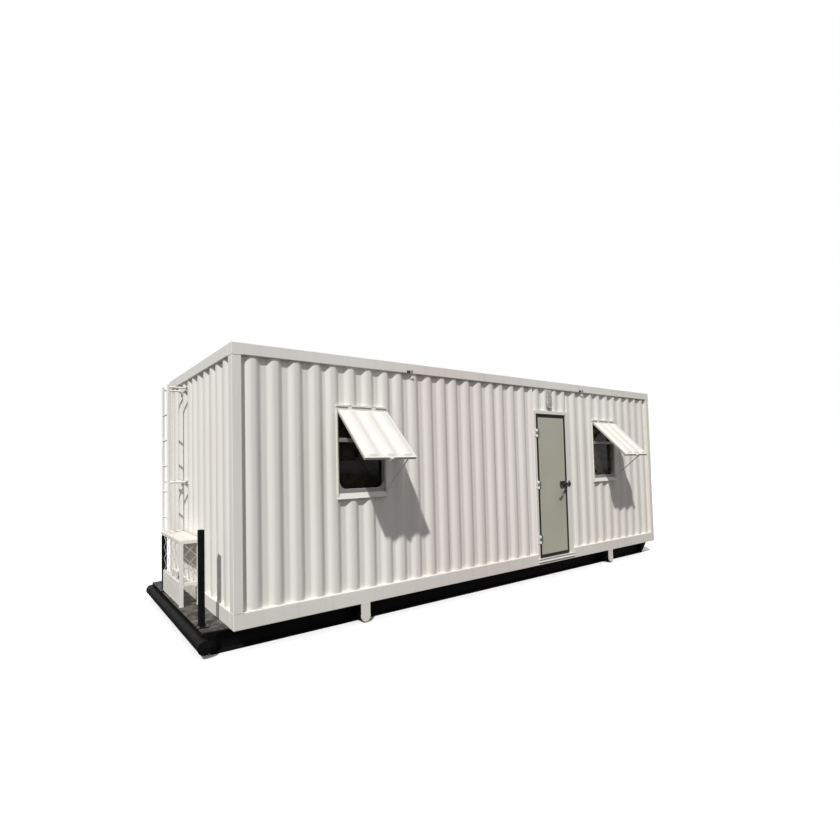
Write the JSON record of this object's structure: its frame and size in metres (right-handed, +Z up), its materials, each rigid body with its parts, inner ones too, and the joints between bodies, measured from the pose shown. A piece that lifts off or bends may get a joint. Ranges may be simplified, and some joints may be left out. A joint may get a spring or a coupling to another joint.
{
  "type": "shipping container cabin",
  "caption": "Steel container cabin on a tow skid, with corrugated walls, a hinged door, propped window shutters, a roof ladder and a mesh-guarded porch.",
  "frame": {"origin": "middle of the bounding box, at the ground under the skid runners", "axes": "+X along the cabin, from the porch end to the plain end; +Y from the front with the door to the back; +Z up"},
  "size_m": [7.92, 2.9452, 2.791],
  "materials": {
    "white_painted_steel": "weathered semi-gloss white paint",
    "black_painted_steel": "matt black paint with scuffs",
    "floor_board": "worn plywood boards",
    "aluminium_sash": "satin anodised",
    "tinted_glass": "dark tinted, clean",
    "galvanised_steel": "dull zinc coat",
    "grey_painted_door": "satin grey-beige paint",
    "black_lock_steel": "satin black",
    "grey_lamp_plastic": "dusty grey",
    "deck_plate": "worn grey paint",
    "black_rubber": "matt moulded rubber"
  },
  "bodies": {
    "cabin": {"skid_runners": "black_painted_steel", "tow_pipe": "black_painted_steel", "tow_pipe_caps": "black_painted_steel", "lifting_tubes": "black_painted_steel", "lifting_tube_caps": "white_painted_steel", "bottom_rail_front": "white_painted_steel", "bottom_rail_back": "white_painted_steel", "bottom_rail_left": "white_painted_steel", "bottom_rail_right": "white_painted_steel", "floor": "floor_board", "corner_posts": "white_painted_steel", "top_rail_front": "white_painted_steel", "top_rail_back": "white_painted_steel", "top_rail_left": "white_painted_steel", "top_rail_right": "white_painted_steel", "roof": "white_painted_steel", "front_wall_left": "white_painted_steel", "front_wall_over_door": "white_painted_steel", "front_wall_right": "white_painted_steel", "back_wall": "white_painted_steel", "end_wall_left": "white_painted_steel", "end_wall_right": "white_painted_steel", "window_frame_left": "white_painted_steel", "window_frame_right": "white_painted_steel", "window_sash_left": "aluminium_sash", "window_sash_right": "aluminium_sash", "window_glass_left": "tinted_glass", "window_glass_right": "tinted_glass", "shutter_left": "white_painted_steel", "shutter_right": "white_painted_steel", "shutter_hinges": "white_painted_steel", "shutter_latches": "white_painted_steel", "shutter_stays": "white_painted_steel", "door_frame": "white_painted_steel", "door_threshold": "white_painted_steel", "door_frame_hinges": "white_painted_steel", "door_staple": "black_lock_steel", "door_lamp": "grey_lamp_plastic", "roof_rail_hooks": "galvanised_steel", "porch_deck": "deck_plate", "guard_posts": "black_painted_steel", "mesh_guard_frame": "white_painted_steel", "guard_mesh_outer": "white_painted_steel", "guard_mesh_side": "white_painted_steel", "kick_plate": "white_painted_steel", "ladder_stiles": "white_painted_steel", "ladder_rungs": "white_painted_steel", "ladder_brackets": "white_painted_steel"},
    "door": {"door_leaf": "grey_painted_door", "door_gasket": "black_rubber", "door_hinge_leaves": "galvanised_steel", "door_lock": "black_lock_steel"}
  },
  "joints": [
    {"name": "door_hinge", "type": "hinge", "parent": "cabin", "child": "door", "pos_m": [0.73697, -0.97374, 1.2975], "axis": [0, 0, -1], "range_deg": [0, 105]}
  ]
}
